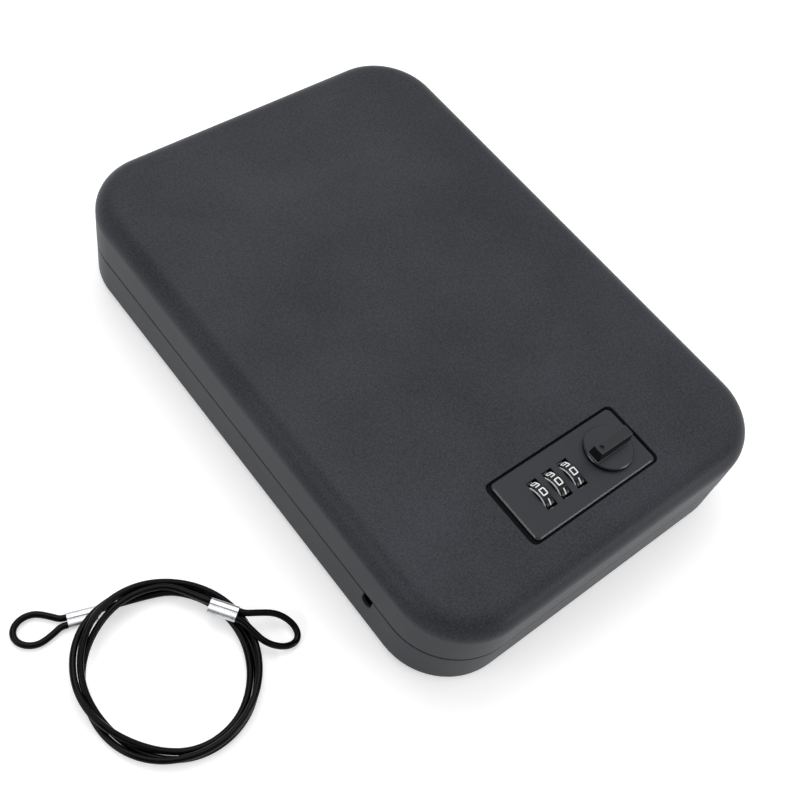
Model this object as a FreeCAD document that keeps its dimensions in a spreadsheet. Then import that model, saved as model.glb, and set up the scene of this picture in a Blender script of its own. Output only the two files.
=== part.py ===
"""Portable steel lock box with a three-dial lock in its lid and a coiled tether cable beside it.

Millimetres. The origin is under the middle of the box, on the surface it rests on:
+X to the right, +Y to the hinge, +Z up. The lock is at the front, -Y.
"""
import FreeCAD
import Part
import math
import os
import re
import Sketcher
from FreeCAD import Placement, Rotation, Vector

SIZES = {
    # box
    "box_width": 165.0,
    "box_length": 240.0,
    "box_height": 45.0,
    "corner_radius": 27.5,
    "wall": 1.2,
    "seam_height": 20.9,
    "seam_gap": 0.7,
    "lid_overhang": 0.1,
    "lid_edge_radius": 8.5,
    "base_edge_radius": 5.0,
    "rim_round": 0.4,
    # slot that lets the tether cable out of the closed box
    "notch_setback": 40.7,
    "notch_width": 4.8,
    "notch_depth": 6.4,
    "notch_round": 0.35,
    # hinge let into the rear wall
    "hinge_corner_room": 1.0,
    "hinge_end_room": 1.5,
    "hinge_notch": 2.8,
    "hinge_notch_depth": 4.0,
    "hinge_relief": 1.0,
    "hinge_relief_overrun": 9.0,
    "barrel_diameter": 4.2,
    "hinge_setback": 1.0,
    "knuckle_count": 9,
    "knuckle_gap": 0.3,
    "leaf_thickness": 1.0,
    "leaf_reach": 12.0,
    "pin_diameter": 2.2,
    "pin_head_diameter": 3.4,
    "pin_head_thickness": 0.8,
    "running_gap": 0.05,
    # foam liners
    "floor_foam": 5.0,
    "lid_foam": 5.0,
    "foam_margin": 1.0,
    "foam_edge_round": 3.0,
    "foam_corner": 16.0,
    "foam_lock_room": 6.0,
    # lock in the lid
    "lock_setback": 30.8,
    "cutout_width": 64.0,
    "cutout_shift": -0.6,
    "cutout_depth": 28.0,
    "cutout_corner": 2.8,
    "plate_width": 60.2,
    "plate_depth": 26.0,
    "plate_corner": 2.0,
    "plate_proud": 0.2,
    "plate_bevel": 0.6,
    "plate_skin": 1.2,
    "flange_width": 77.0,
    "flange_depth": 31.0,
    "flange_thickness": 2.0,
    "flange_corner": 3.0,
    "case_depth": 12.8,
    "chamber_gap": 0.9,
    "chamber_end": 0.5,
    "cover_thickness": 1.6,
    "cover_screw_inset": 2.9,
    "cover_screw_diameter": 2.2,
    "cover_screw_length": 7.0,
    "screw_head_diameter": 4.2,
    "screw_head_height": 1.0,
    "stud_inset": 3.9,
    "stud_spacing": 20.0,
    "stud_diameter": 3.0,
    "stud_length": 6.4,
    "stud_hole_gap": 0.2,
    "nut_across_corners": 6.3,
    "nut_height": 2.4,
    # number dials
    "dial_offset": -8.85,
    "dial_count": 3,
    "dial_pitch": 7.55,
    "dial_diameter": 13.6,
    "dial_width": 4.3,
    "dial_rise": 1.8,
    "dial_edge": 0.5,
    "flute_radius": 1.3,
    "flute_depth": 0.3,
    "window_width": 4.8,
    "window_length": 12.3,
    "axle_diameter": 3.0,
    "axle_seat": 3.0,
    "sleeve_diameter": 5.6,
    "sleeve_gap": 0.3,
    "collar_diameter": 7.0,
    "collar_width": 1.2,
    "gate_width": 1.6,
    "fit_gap": 0.03,
    "spring_thickness": 0.4,
    "spring_finger": 3.0,
    "spring_strip": 4.0,
    "spring_clearance": 0.2,
    # turn knob and latch
    "knob_offset": 17.0,
    "knob_diameter": 19.0,
    "knob_gap": 0.3,
    "knob_thickness": 1.5,
    "knob_bevel": 0.4,
    "grip_length": 17.2,
    "grip_width": 5.4,
    "grip_height": 5.4,
    "grip_taper": 6.0,
    "grip_round": 0.4,
    "grip_mark": 1.8,
    "grip_mark_depth": 0.6,
    "grip_mark_inset": 2.4,
    "stem_diameter": 8.0,
    "socket_depth": 8.0,
    "spindle_square": 4.0,
    "spindle_tail": 5.0,
    "cam_gap": 0.4,
    "cam_thickness": 2.0,
    "cam_hub": 14.0,
    "cam_width": 9.0,
    "cam_reach": 26.0,
    "cam_tip_radius": 3.5,
    "cam_washer_diameter": 9.0,
    "cam_washer_thickness": 0.8,
    "cam_nut_corners": 8.0,
    "cam_nut_height": 3.2,
    "strike_width": 16.0,
    "strike_thickness": 1.5,
    "strike_foot": 8.0,
    "strike_jog": 0.8,
    "strike_bend": 20.0,
    "strike_lip": 7.0,
    "strike_clearance": 0.6,
    # tether cable
    "cable_x": -149.7,
    "cable_y": -57.6,
    "cable_turn": -34.7,
    "cable_diameter": 2.4,
    "floor_gap": 0.1,
    "coil_radius": 30.0,
    "coil_turns": 3,
    "strand_radius": 2.1,
    "strand_twist": -270.0,
    "strand_start": 215.0,
    "coil_hump": 2.6,
    "coil_hump_at": -36.0,
    "coil_hump_reach": 80.0,
    "coil_loose": 0.5,
    "coil_loose_at": -62.0,
    "coil_loose_reach": 50.0,
    "ferrule_length": 10.3,
    "ferrule_wall": 0.35,
    "ferrule_groove": 1.0,
    "strand_gap": 0.46,
    "left_ferrule_a": -24.9,
    "left_ferrule_b": 21.6,
    "left_ferrule_heading": 15.8,
    "right_ferrule_a": 13.6,
    "right_ferrule_b": 22.9,
    "right_ferrule_heading": -19.3,
    "right_ferrule_lift": 5.3,
    "left_eye_length": 19.6,
    "right_eye_length": 23.7,
    "left_eye_width": 13.5,
    "right_eye_width": 11.9,
    "eye_widest": 0.59,
}

# places worked out from the sizes
LOCK_Y = "(lock_setback - box_length / 2)"
LID_BOTTOM = "(seam_height + seam_gap)"
LID_INSIDE = "(box_height - wall)"
BASE_WIDTH = "(box_width - 2 * lid_overhang)"
BASE_LENGTH = "(box_length - 2 * lid_overhang)"
BASE_CORNER = "(corner_radius - lid_overhang)"
HINGE_Y = "(box_length / 2 - hinge_setback)"
HINGE_Z = "(seam_height + seam_gap / 2)"
HINGE_LENGTH = "(box_width - 2 * (corner_radius + hinge_corner_room))"
PLATE_TOP = "(box_height + plate_proud)"
CASE_BOTTOM = f"({LID_INSIDE} - case_depth)"
COVER_BOTTOM = f"({CASE_BOTTOM} - cover_thickness)"
CAM_TOP = f"({COVER_BOTTOM} - cam_gap)"
CAM_BOTTOM = f"({CAM_TOP} - cam_thickness)"
AXLE_Z = f"({PLATE_TOP} + dial_rise - dial_diameter / 2)"
CHAMBER_WIDTH = "(dial_count * dial_pitch + 2 * chamber_end)"
CHAMBER_DEPTH = "(dial_diameter + 2 * chamber_gap)"
AXLE_END = f"(dial_offset + {CHAMBER_WIDTH} / 2 + axle_seat)"
KNOB_BOTTOM = f"({PLATE_TOP} + knob_gap)"
KNOB_TOP = f"({KNOB_BOTTOM} + knob_thickness)"
BASE_FRONT = f"(wall - {BASE_LENGTH} / 2)"

CUT_SPARE = "1"
DIALS = {number: f"(dial_offset + dial_pitch * ({number} - (dial_count + 1) / 2))"
         for number in range(1, SIZES["dial_count"] + 1)}
DIGITS = 10
FULL_TURN = 360
CLOSE = 1e-4
VOLUME_SPREAD = 0.01

doc = FreeCAD.newDocument("lock_box")
sheet = doc.addObject("Spreadsheet::Sheet", "sizes")
for row, (alias, value) in enumerate(SIZES.items(), start=1):
    sheet.set(f"A{row}", str(value))
    sheet.setAlias(f"A{row}", alias)
doc.recompute()
nodes = []


def cells(text):
    """The expression with each size read from its cell."""
    return re.sub(r"[a-z_]+", lambda word: "sizes." + word[0] if word[0] in SIZES else word[0], text)


def size(text):
    return float(sheet.evalExpression(cells(text)))


def bind(feature, **texts):
    for name, text in texts.items():
        feature.setExpression(name, cells(text))


def place(feature, x="0", y="0", z="0"):
    for axis, text in zip("xyz", (x, y, z)):
        feature.setExpression(f"Placement.Base.{axis}", cells(text))


def node(feature, label):
    feature.Label = label
    nodes.append(feature)
    return feature


def new_body(label):
    return node(doc.addObject("PartDesign::Body", label), label)


def sketch_on(body, role, offset="0"):
    sketch = body.newObject("Sketcher::SketchObject", f"{body.Name}_outline")
    plane = next(item for item in body.Origin.OriginFeatures if item.Role == role)
    sketch.AttachmentSupport = (plane, [""])
    sketch.MapMode = "FlatFace"
    sketch.setExpression("AttachmentOffset.Base.z", cells(offset))
    return sketch


def pin_point(sketch, geometry, point, x, y):
    """Hold a sketch point at a place measured from the sketch's origin."""
    for kind, text in (("DistanceX", x), ("DistanceY", y)):
        index = sketch.addConstraint(Sketcher.Constraint(kind, -1, 1, geometry, point, size(text)))
        sketch.setExpression(f"Constraints[{index}]", cells(text))


def polygon(sketch, points):
    first = sketch.GeometryCount
    count = len(points)
    corners = [Vector(size(x), size(y), 0) for x, y in points]
    for index in range(count):
        sketch.addGeometry(Part.LineSegment(corners[index], corners[(index + 1) % count]))
    for index in range(count):
        after = first + (index + 1) % count
        sketch.addConstraint(Sketcher.Constraint("Coincident", first + index, 2, after, 1))
    for index, (x, y) in enumerate(points):
        pin_point(sketch, first + index, 1, x, y)


def rectangle(sketch, x, y, width, depth):
    left, right = f"{x} - {width} / 2", f"{x} + {width} / 2"
    near, far = f"{y} - {depth} / 2", f"{y} + {depth} / 2"
    polygon(sketch, [(left, near), (right, near), (right, far), (left, far)])


def span(sketch, low, high):
    """A rectangle between two corners."""
    polygon(sketch, [low, (high[0], low[1]), high, (low[0], high[1])])


def circle(sketch, x, y, radius):
    ring = Part.Circle(Vector(size(x), size(y), 0), Vector(0, 0, 1), size(radius))
    index = sketch.addGeometry(ring)
    pin_point(sketch, index, 3, x, y)
    round_by = sketch.addConstraint(Sketcher.Constraint("Radius", index, size(radius)))
    sketch.setExpression(f"Constraints[{round_by}]", cells(radius))


def extrude(kind, body, sketch, length, both, back):
    feature = body.newObject(f"PartDesign::{kind}", f"{body.Name}_{kind}")
    feature.Profile = sketch
    bind(feature, Length=length)
    feature.SideType = "Symmetric" if both else "One side"
    feature.Reversed = back
    doc.recompute()
    return feature


def pad(body, sketch, length, both=False, back=False):
    return extrude("Pad", body, sketch, length, both, back)


def pocket(body, sketch, length, both=False, back=False):
    before = body.Shape.Volume
    feature = extrude("Pocket", body, sketch, length, both, back)
    if not feature.Shape.Volume < before:
        raise RuntimeError(f"{feature.Label} cuts nothing")
    return feature


def edges(feature, test):
    return [f"Edge{index}" for index, edge in enumerate(feature.Shape.Edges, start=1) if test(edge)]


def upright(edge):
    return isinstance(edge.Curve, Part.Line) and abs(edge.Curve.Direction.z) > 1 - CLOSE


def level(height):
    """Picks the edges that lie in one level plane."""
    z = size(height)
    return lambda edge: abs(edge.BoundBox.ZMin - z) < CLOSE and abs(edge.BoundBox.ZMax - z) < CLOSE


def round_edges(body, feature, names, radius):
    fillet = body.newObject("PartDesign::Fillet", f"{body.Name}_round")
    fillet.Base = (feature, names)
    bind(fillet, Radius=radius)
    doc.recompute()
    return fillet


def bevel_edges(body, feature, names, width):
    chamfer = body.newObject("PartDesign::Chamfer", f"{body.Name}_bevel")
    chamfer.Base = (feature, names)
    bind(chamfer, Size=width)
    doc.recompute()
    return chamfer


def cylinder(name, radius, height, x, y, z):
    feature = doc.addObject("Part::Cylinder", name)
    bind(feature, Radius=radius, Height=height)
    place(feature, x, y, z)
    return feature


def hexagon(name, corners, height, x, y, z):
    feature = doc.addObject("Part::Prism", name)
    feature.Polygon = 6
    bind(feature, Circumradius=f"{corners} / 2", Height=height)
    place(feature, x, y, z)
    return feature


def cut(name, base, tool):
    feature = doc.addObject("Part::Cut", name)
    feature.Base = base
    feature.Tool = tool
    return feature


def fuse(name, shapes):
    feature = doc.addObject("Part::MultiFuse", name)
    feature.Shapes = shapes
    return feature


def group(label, members):
    """Like pieces of one node, each a solid of its own."""
    feature = doc.addObject("Part::Compound", label)
    feature.Links = members
    return node(feature, label)


def tray(label, width, length, corner, bottom, top, round_at, edge_radius, open_at):
    """A drawn steel half of the box: rounded in plan, rounded at its closed edge, open at its rim."""
    body = new_body(label)
    outline = sketch_on(body, "XY_Plane", bottom)
    rectangle(outline, "0", "0", width, length)
    block = pad(body, outline, f"{top} - {bottom}")
    block = round_edges(body, block, edges(block, upright), corner)
    block = round_edges(body, block, edges(block, level(round_at)), edge_radius)
    rim = size(open_at)
    mouth = [f"Face{index}" for index, face in enumerate(block.Shape.Faces, start=1)
             if abs(face.BoundBox.ZMin - rim) < CLOSE and abs(face.BoundBox.ZMax - rim) < CLOSE]
    hollow = body.newObject("PartDesign::Thickness", f"{label}_hollow")
    hollow.Base = (block, mouth)
    hollow.Reversed = True
    bind(hollow, Value="wall")
    doc.recompute()
    half_width, half_length = size(f"{width} / 2"), size(f"{length} / 2")
    corner_size, half_wall = size(corner), size("wall / 2")

    def outside(edge):
        if not level(open_at)(edge):
            return False
        if isinstance(edge.Curve, Part.Circle):
            return edge.Curve.Radius > corner_size - half_wall
        middle = edge.BoundBox.Center
        return abs(middle.x) > half_width - half_wall or abs(middle.y) > half_length - half_wall

    round_edges(body, hollow, edges(hollow, outside), "rim_round")
    rear_notch(body, HINGE_Z, f"({HINGE_LENGTH} + 2 * hinge_end_room)", "2 * hinge_notch")
    return body


def rear_notch(body, z, length, height):
    """Cut through the rear wall, centred on the hinge."""
    notch = sketch_on(body, "XZ_Plane", f"-box_length / 2 - {CUT_SPARE}")
    rectangle(notch, "0", z, length, height)
    pocket(body, notch, f"hinge_notch_depth + {CUT_SPARE}", back=True)


def base_shell():
    body = tray("base_shell", BASE_WIDTH, BASE_LENGTH, BASE_CORNER, "0", "seam_height",
                "0", "base_edge_radius", "seam_height")
    side = f"-box_width / 2 - {CUT_SPARE}"
    middle = "notch_setback - box_length / 2"
    round_z = "seam_height - notch_depth + notch_width / 2"
    slot = sketch_on(body, "YZ_Plane", side)
    span(slot, (f"{middle} - notch_width / 2", round_z),
         (f"{middle} + notch_width / 2", f"seam_height + {CUT_SPARE}"))
    through = f"wall + lid_overhang + 2 * {CUT_SPARE}"
    pocket(body, slot, through, back=True)
    foot = sketch_on(body, "YZ_Plane", side)
    circle(foot, middle, round_z, "notch_width / 2")
    open_slot = pocket(body, foot, through, back=True)
    outside, reach = size(f"-{BASE_WIDTH} / 2"), size("notch_width") + CLOSE
    notch_y = size(middle)

    def lip(edge):
        box = edge.BoundBox
        flat = abs(box.XMin - outside) < CLOSE and abs(box.XMax - outside) < CLOSE
        return flat and abs(box.Center.y - notch_y) < reach and box.YLength < reach

    round_edges(body, open_slot, edges(open_slot, lip), "notch_round")


def lid_shell():
    body = tray("lid_shell", "box_width", "box_length", "corner_radius", LID_BOTTOM, "box_height",
                "box_height", "lid_edge_radius", LID_BOTTOM)
    rear_notch(body, LID_BOTTOM, f"({HINGE_LENGTH} + 2 * hinge_relief_overrun)", "2 * hinge_relief")
    opening = sketch_on(body, "XY_Plane", f"box_height + {CUT_SPARE}")
    rectangle(opening, "cutout_shift", LOCK_Y, "cutout_width", "cutout_depth")
    cut_through = pocket(body, opening, f"wall + 2 * {CUT_SPARE}")
    low, middle, reach = size(LID_INSIDE), size("cutout_shift"), size("cutout_width / 2")
    corners = edges(cut_through, lambda edge: upright(edge) and edge.BoundBox.ZMin > low - CLOSE
                    and abs(abs(edge.BoundBox.Center.x - middle) - reach) < CLOSE)
    round_edges(body, cut_through, corners, "cutout_corner")


def foam_pad(label, width, length, corner, y, bottom, thickness, rounded):
    body = new_body(label)
    outline = sketch_on(body, "XY_Plane", bottom)
    rectangle(outline, "0", y, width, length)
    block = pad(body, outline, thickness)
    block = round_edges(body, block, edges(block, upright), corner)
    round_edges(body, block, edges(block, level(rounded)), "foam_edge_round")


def foam():
    inset = "2 * (wall + foam_margin)"
    foam_pad("base_foam", f"({BASE_WIDTH} - {inset})", f"({BASE_LENGTH} - {inset})",
             f"{BASE_CORNER} - wall - foam_margin", "0", "wall", "floor_foam", "wall")
    front = f"({LOCK_Y} + flange_depth / 2 + foam_lock_room)"
    back = "(box_length / 2 - lid_edge_radius - foam_margin)"
    foam_pad("lid_foam", "(box_width - 2 * (lid_edge_radius + foam_margin))", f"({back} - {front})",
             "foam_corner", f"({front} + {back}) / 2", f"{LID_INSIDE} - lid_foam", "lid_foam",
             f"{LID_INSIDE} - lid_foam")


def hinge_leaf(label, wall_face, direction, cut_parity):
    """A leaf with its share of the knuckles; the other leaf's share is cut away."""
    body = new_body(label)
    barrel = sketch_on(body, "YZ_Plane")
    circle(barrel, HINGE_Y, HINGE_Z, "barrel_diameter / 2")
    pad(body, barrel, HINGE_LENGTH, both=True)
    plate = sketch_on(body, "YZ_Plane")
    span(plate, (f"{wall_face} - leaf_thickness", HINGE_Z),
         (wall_face, f"{HINGE_Z} + {direction} * leaf_reach"))
    pad(body, plate, HINGE_LENGTH, both=True)
    gaps = sketch_on(body, "XZ_Plane", f"-{HINGE_Y}")
    knuckles = int(size("knuckle_count"))
    for index in range(knuckles):
        if index % 2 == cut_parity:
            left = f"{HINGE_LENGTH} * ({index} / knuckle_count - 1 / 2) - knuckle_gap / 2"
            right = f"{HINGE_LENGTH} * ({index + 1} / knuckle_count - 1 / 2) + knuckle_gap / 2"
            reach = "(barrel_diameter / 2 + knuckle_gap)"
            span(gaps, (left, f"{HINGE_Z} - {reach}"), (right, f"{HINGE_Z} + {reach}"))
    pocket(body, gaps, "2 * barrel_diameter", both=True)
    bore = sketch_on(body, "YZ_Plane")
    circle(bore, HINGE_Y, HINGE_Z, "pin_diameter / 2 + running_gap")
    pocket(body, bore, f"{HINGE_LENGTH} + 2 * {CUT_SPARE}", both=True)


def hinge():
    hinge_leaf("hinge_leaf_base", f"({BASE_LENGTH} / 2 - wall)", "-1", 1)
    hinge_leaf("hinge_leaf_lid", "(box_length / 2 - wall)", "1", 0)
    body = new_body("hinge_pin")
    shank = sketch_on(body, "YZ_Plane")
    circle(shank, HINGE_Y, HINGE_Z, "pin_diameter / 2")
    pad(body, shank, f"{HINGE_LENGTH} + 2 * (running_gap + pin_head_thickness)", both=True)
    for side, back in (("1", False), ("-1", True)):
        head = sketch_on(body, "YZ_Plane", f"{side} * ({HINGE_LENGTH} / 2 + running_gap)")
        circle(head, HINGE_Y, HINGE_Z, "pin_head_diameter / 2")
        pad(body, head, "pin_head_thickness", back=back)


def strike_bracket():
    """A bent strip on the base's front wall; its lip holds the latch cam down."""
    body = new_body("strike_bracket")
    profile = sketch_on(body, "YZ_Plane", "knob_offset")
    inner = f"({BASE_FRONT} + strike_jog)"
    bent = "(strike_bend + strike_jog)"
    lip_low = f"({CAM_TOP} + strike_clearance)"
    polygon(profile, [
        (BASE_FRONT, "strike_foot"),
        (f"{BASE_FRONT} + strike_thickness", "strike_foot"),
        (f"{BASE_FRONT} + strike_thickness", "strike_bend"),
        (f"{inner} + strike_thickness", bent),
        (f"{inner} + strike_thickness", lip_low),
        (f"{inner} + strike_thickness + strike_lip", lip_low),
        (f"{inner} + strike_thickness + strike_lip", f"{lip_low} + strike_thickness"),
        (inner, f"{lip_low} + strike_thickness"),
        (inner, bent),
        (BASE_FRONT, "strike_bend"),
    ])
    pad(body, profile, "strike_width", both=True)


def corner_places(half_x, half_y):
    """The four places of a fastener pattern centred on the lock."""
    return [(f"{right} * ({half_x})", f"{LOCK_Y} + {far} * ({half_y})")
            for right in ("-1", "1") for far in ("-1", "1")]


def stud_places():
    return corner_places("flange_width / 2 - stud_inset", "stud_spacing / 2")


def cover_screw_places():
    return corner_places("plate_width / 2 - cover_screw_inset", "plate_depth / 2 - cover_screw_inset")


def lock_body():
    body = new_body("lock_body")
    flange = sketch_on(body, "XY_Plane", f"{LID_INSIDE} - flange_thickness")
    rectangle(flange, "0", LOCK_Y, "flange_width", "flange_depth")
    solid = pad(body, flange, "flange_thickness")
    solid = round_edges(body, solid, edges(solid, upright), "flange_corner")
    plate = sketch_on(body, "XY_Plane", LID_INSIDE)
    rectangle(plate, "0", LOCK_Y, "plate_width", "plate_depth")
    solid = pad(body, plate, "wall + plate_proud")
    low = size(LID_INSIDE)
    corners = edges(solid, lambda edge: upright(edge) and edge.BoundBox.ZMin > low - CLOSE)
    solid = round_edges(body, solid, corners, "plate_corner")
    bevel_edges(body, solid, edges(solid, level(PLATE_TOP)), "plate_bevel")
    case = sketch_on(body, "XY_Plane", CASE_BOTTOM)
    rectangle(case, "0", LOCK_Y, "plate_width", "plate_depth")
    pad(body, case, "case_depth - flange_thickness")
    chamber = sketch_on(body, "XY_Plane", CASE_BOTTOM)
    rectangle(chamber, "dial_offset", LOCK_Y, CHAMBER_WIDTH, CHAMBER_DEPTH)
    pocket(body, chamber, f"{PLATE_TOP} - plate_skin - {CASE_BOTTOM}", back=True)
    windows = sketch_on(body, "XY_Plane", f"{PLATE_TOP} + {CUT_SPARE}")
    for x in DIALS.values():
        rectangle(windows, x, LOCK_Y, "window_width", "window_length")
    pocket(body, windows, f"plate_skin + 2 * {CUT_SPARE}")
    stem = sketch_on(body, "XY_Plane", f"{PLATE_TOP} + {CUT_SPARE}")
    circle(stem, "knob_offset", LOCK_Y, "stem_diameter / 2 + running_gap")
    pocket(body, stem, f"{PLATE_TOP} - {CASE_BOTTOM} + 2 * {CUT_SPARE}")
    axle = sketch_on(body, "YZ_Plane", f"-plate_width / 2 - {CUT_SPARE}")
    circle(axle, LOCK_Y, AXLE_Z, "axle_diameter / 2 + fit_gap")
    pocket(body, axle, f"plate_width / 2 + {CUT_SPARE} + {AXLE_END} + fit_gap", back=True)
    holes = sketch_on(body, "XY_Plane", f"{LID_INSIDE} + {CUT_SPARE}")
    for x, y in stud_places():
        circle(holes, x, y, "stud_diameter / 2 + stud_hole_gap")
    pocket(body, holes, f"flange_thickness + 2 * {CUT_SPARE}")
    bores = sketch_on(body, "XY_Plane", CASE_BOTTOM)
    for x, y in cover_screw_places():
        circle(bores, x, y, "cover_screw_diameter / 2 + fit_gap")
    pocket(body, bores, "cover_screw_length - cover_thickness", back=True)


def lock_cover():
    body = new_body("lock_cover")
    outline = sketch_on(body, "XY_Plane", COVER_BOTTOM)
    rectangle(outline, "0", LOCK_Y, "plate_width", "plate_depth")
    solid = pad(body, outline, "cover_thickness")
    round_edges(body, solid, edges(solid, upright), "plate_corner")
    holes = sketch_on(body, "XY_Plane", f"{COVER_BOTTOM} - {CUT_SPARE}")
    circle(holes, "knob_offset", LOCK_Y, "stem_diameter / 2 + running_gap")
    seats = sketch_on(body, "XY_Plane", f"{COVER_BOTTOM} - {CUT_SPARE}")
    for x, y in cover_screw_places():
        circle(holes, x, y, "cover_screw_diameter / 2 + fit_gap")
        circle(seats, x, y, "screw_head_diameter / 2 + fit_gap")
    pocket(body, holes, f"cover_thickness + 2 * {CUT_SPARE}", back=True)
    pocket(body, seats, f"screw_head_height + {CUT_SPARE}", back=True)


def lock_fasteners():
    screws, studs, nuts = [], [], []
    for x, y in cover_screw_places():
        shank = cylinder("screw_shank", "cover_screw_diameter / 2", "cover_screw_length",
                         x, y, COVER_BOTTOM)
        head = cylinder("screw_head", "screw_head_diameter / 2", "screw_head_height", x, y, COVER_BOTTOM)
        screws.append(fuse("cover_screw", [shank, head]))
    for x, y in stud_places():
        studs.append(cylinder("stud", "stud_diameter / 2", "stud_length",
                              x, y, f"{LID_INSIDE} - stud_length"))
        under = f"{LID_INSIDE} - flange_thickness - nut_height"
        blank = hexagon("nut_blank", "nut_across_corners", "nut_height", x, y, under)
        hole = cylinder("nut_hole", "stud_diameter / 2 + fit_gap", "nut_height", x, y, under)
        nuts.append(cut("nut", blank, hole))
    group("lock_cover_screws", screws)
    group("lock_studs", studs)
    group("lock_nuts", nuts)


def dial_axle():
    axle = cylinder("dial_axle", "axle_diameter / 2", f"{AXLE_END} + plate_width / 2", "0", "0", "0")
    axle.Placement = Placement(Vector(), Rotation(Vector(0, 1, 0), 90))
    place(axle, "-plate_width / 2", LOCK_Y, AXLE_Z)
    node(axle, "dial_axle")


def dial_wheel(name, x):
    """A number wheel, fluted between its ten digits, about its own axle."""
    body = new_body(f"dial_wheel_{name}")
    ring = sketch_on(body, "YZ_Plane")
    circle(ring, "0", "0", "dial_diameter / 2")
    circle(ring, "0", "0", "sleeve_diameter / 2 + fit_gap")
    solid = pad(body, ring, "dial_width", both=True)
    rim = size("dial_diameter / 2")
    rims = edges(solid, lambda edge: isinstance(edge.Curve, Part.Circle)
                 and abs(edge.Curve.Radius - rim) < CLOSE)
    bevel_edges(body, solid, rims, "dial_edge")
    flute = sketch_on(body, "YZ_Plane")
    from_axle = "(dial_diameter / 2 - flute_depth + flute_radius)"
    half_step = f"({FULL_TURN / DIGITS / 2} deg)"
    circle(flute, f"{from_axle} * sin{half_step}", f"{from_axle} * cos{half_step}", "flute_radius")
    first = pocket(body, flute, f"dial_width + 2 * {CUT_SPARE}", both=True)
    pattern = body.newObject("PartDesign::PolarPattern", f"{body.Name}_flutes")
    pattern.Originals = [first]
    pattern.Axis = (next(item for item in body.Origin.OriginFeatures if item.Role == "X_Axis"), [""])
    pattern.Angle = FULL_TURN
    pattern.Occurrences = DIGITS
    body.Tip = pattern
    place(body, x, LOCK_Y, AXLE_Z)


def code_sleeve(name, x):
    """The sleeve that turns with its wheel; the slot in its collar is the code gate."""
    body = new_body(f"code_sleeve_{name}")
    tube = sketch_on(body, "YZ_Plane")
    circle(tube, "0", "0", "sleeve_diameter / 2")
    circle(tube, "0", "0", "axle_diameter / 2 + running_gap")
    pad(body, tube, "dial_pitch - sleeve_gap", both=True)
    collar = sketch_on(body, "YZ_Plane", "dial_width / 2")
    circle(collar, "0", "0", "collar_diameter / 2")
    circle(collar, "0", "0", "axle_diameter / 2 + running_gap")
    pad(body, collar, "collar_width")
    gate = sketch_on(body, "YZ_Plane", "dial_width / 2")
    span(gate, ("-gate_width / 2", "-collar_diameter"), ("gate_width / 2", "-sleeve_diameter / 2"))
    pocket(body, gate, "collar_width", back=True)
    place(body, x, LOCK_Y, AXLE_Z)


def detent_spring():
    """A spring comb on the cover: one raised finger under each wheel."""
    body = new_body("detent_spring")
    strip = sketch_on(body, "XY_Plane", CASE_BOTTOM)
    front = f"({LOCK_Y} - {CHAMBER_DEPTH} / 2 + chamber_end)"
    half = f"({CHAMBER_WIDTH} / 2 - chamber_end)"
    span(strip, (f"dial_offset - {half}", front), (f"dial_offset + {half}", f"{front} + spring_strip"))
    pad(body, strip, "spring_thickness")
    tip = f"({AXLE_Z} - dial_diameter / 2 - spring_clearance)"
    root = f"{front} + spring_strip"
    crest = "spring_finger / 2"
    for x in DIALS.values():
        finger = sketch_on(body, "YZ_Plane", x)
        polygon(finger, [
            (f"{root} - spring_thickness", CASE_BOTTOM),
            (root, CASE_BOTTOM),
            (f"{LOCK_Y} - {crest} + spring_thickness", f"{tip} - spring_thickness"),
            (f"{LOCK_Y} + {crest}", f"{tip} - spring_thickness"),
            (f"{LOCK_Y} + {crest}", tip),
            (f"{LOCK_Y} - {crest}", tip),
            (f"{root} - spring_thickness", f"{CASE_BOTTOM} + spring_thickness"),
        ])
        pad(body, finger, "spring_finger", both=True)


def knob():
    body = new_body("knob")
    disc = sketch_on(body, "XY_Plane", KNOB_BOTTOM)
    circle(disc, "knob_offset", LOCK_Y, "knob_diameter / 2")
    solid = pad(body, disc, "knob_thickness")
    bevel_edges(body, solid, edges(solid, level(KNOB_TOP)), "knob_bevel")
    grip = sketch_on(body, "XY_Plane", KNOB_TOP)
    rectangle(grip, "knob_offset", LOCK_Y, "grip_length", "grip_width")
    solid = pad(body, grip, "grip_height")
    bind(solid, TaperAngle="-grip_taper")
    doc.recompute()
    foot = size(KNOB_TOP)
    crests = edges(solid, lambda edge: edge.BoundBox.ZMax > foot + CLOSE)
    round_edges(body, solid, crests, "grip_round")
    mark = sketch_on(body, "XY_Plane", f"{KNOB_TOP} + grip_height")
    circle(mark, "knob_offset - grip_length / 2 + grip_mark_inset", LOCK_Y, "grip_mark / 2")
    pocket(body, mark, "grip_mark_depth")
    stem = sketch_on(body, "XY_Plane", KNOB_BOTTOM)
    circle(stem, "knob_offset", LOCK_Y, "stem_diameter / 2")
    pad(body, stem, f"{KNOB_BOTTOM} - {CAM_TOP}", back=True)
    socket = sketch_on(body, "XY_Plane", CAM_TOP)
    hole = "(spindle_square + 2 * fit_gap)"
    rectangle(socket, "knob_offset", LOCK_Y, hole, hole)
    pocket(body, socket, "socket_depth", back=True)


def knob_spindle():
    square = doc.addObject("Part::Box", "spindle_square_part")
    bind(square, Length="spindle_square", Width="spindle_square",
         Height="cam_thickness + socket_depth - fit_gap")
    place(square, "knob_offset - spindle_square / 2", f"{LOCK_Y} - spindle_square / 2", CAM_BOTTOM)
    tail = cylinder("spindle_tail_part", "spindle_square / 2", "spindle_tail",
                    "knob_offset", LOCK_Y, f"{CAM_BOTTOM} - spindle_tail")
    node(fuse("knob_spindle", [square, tail]), "knob_spindle")


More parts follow.
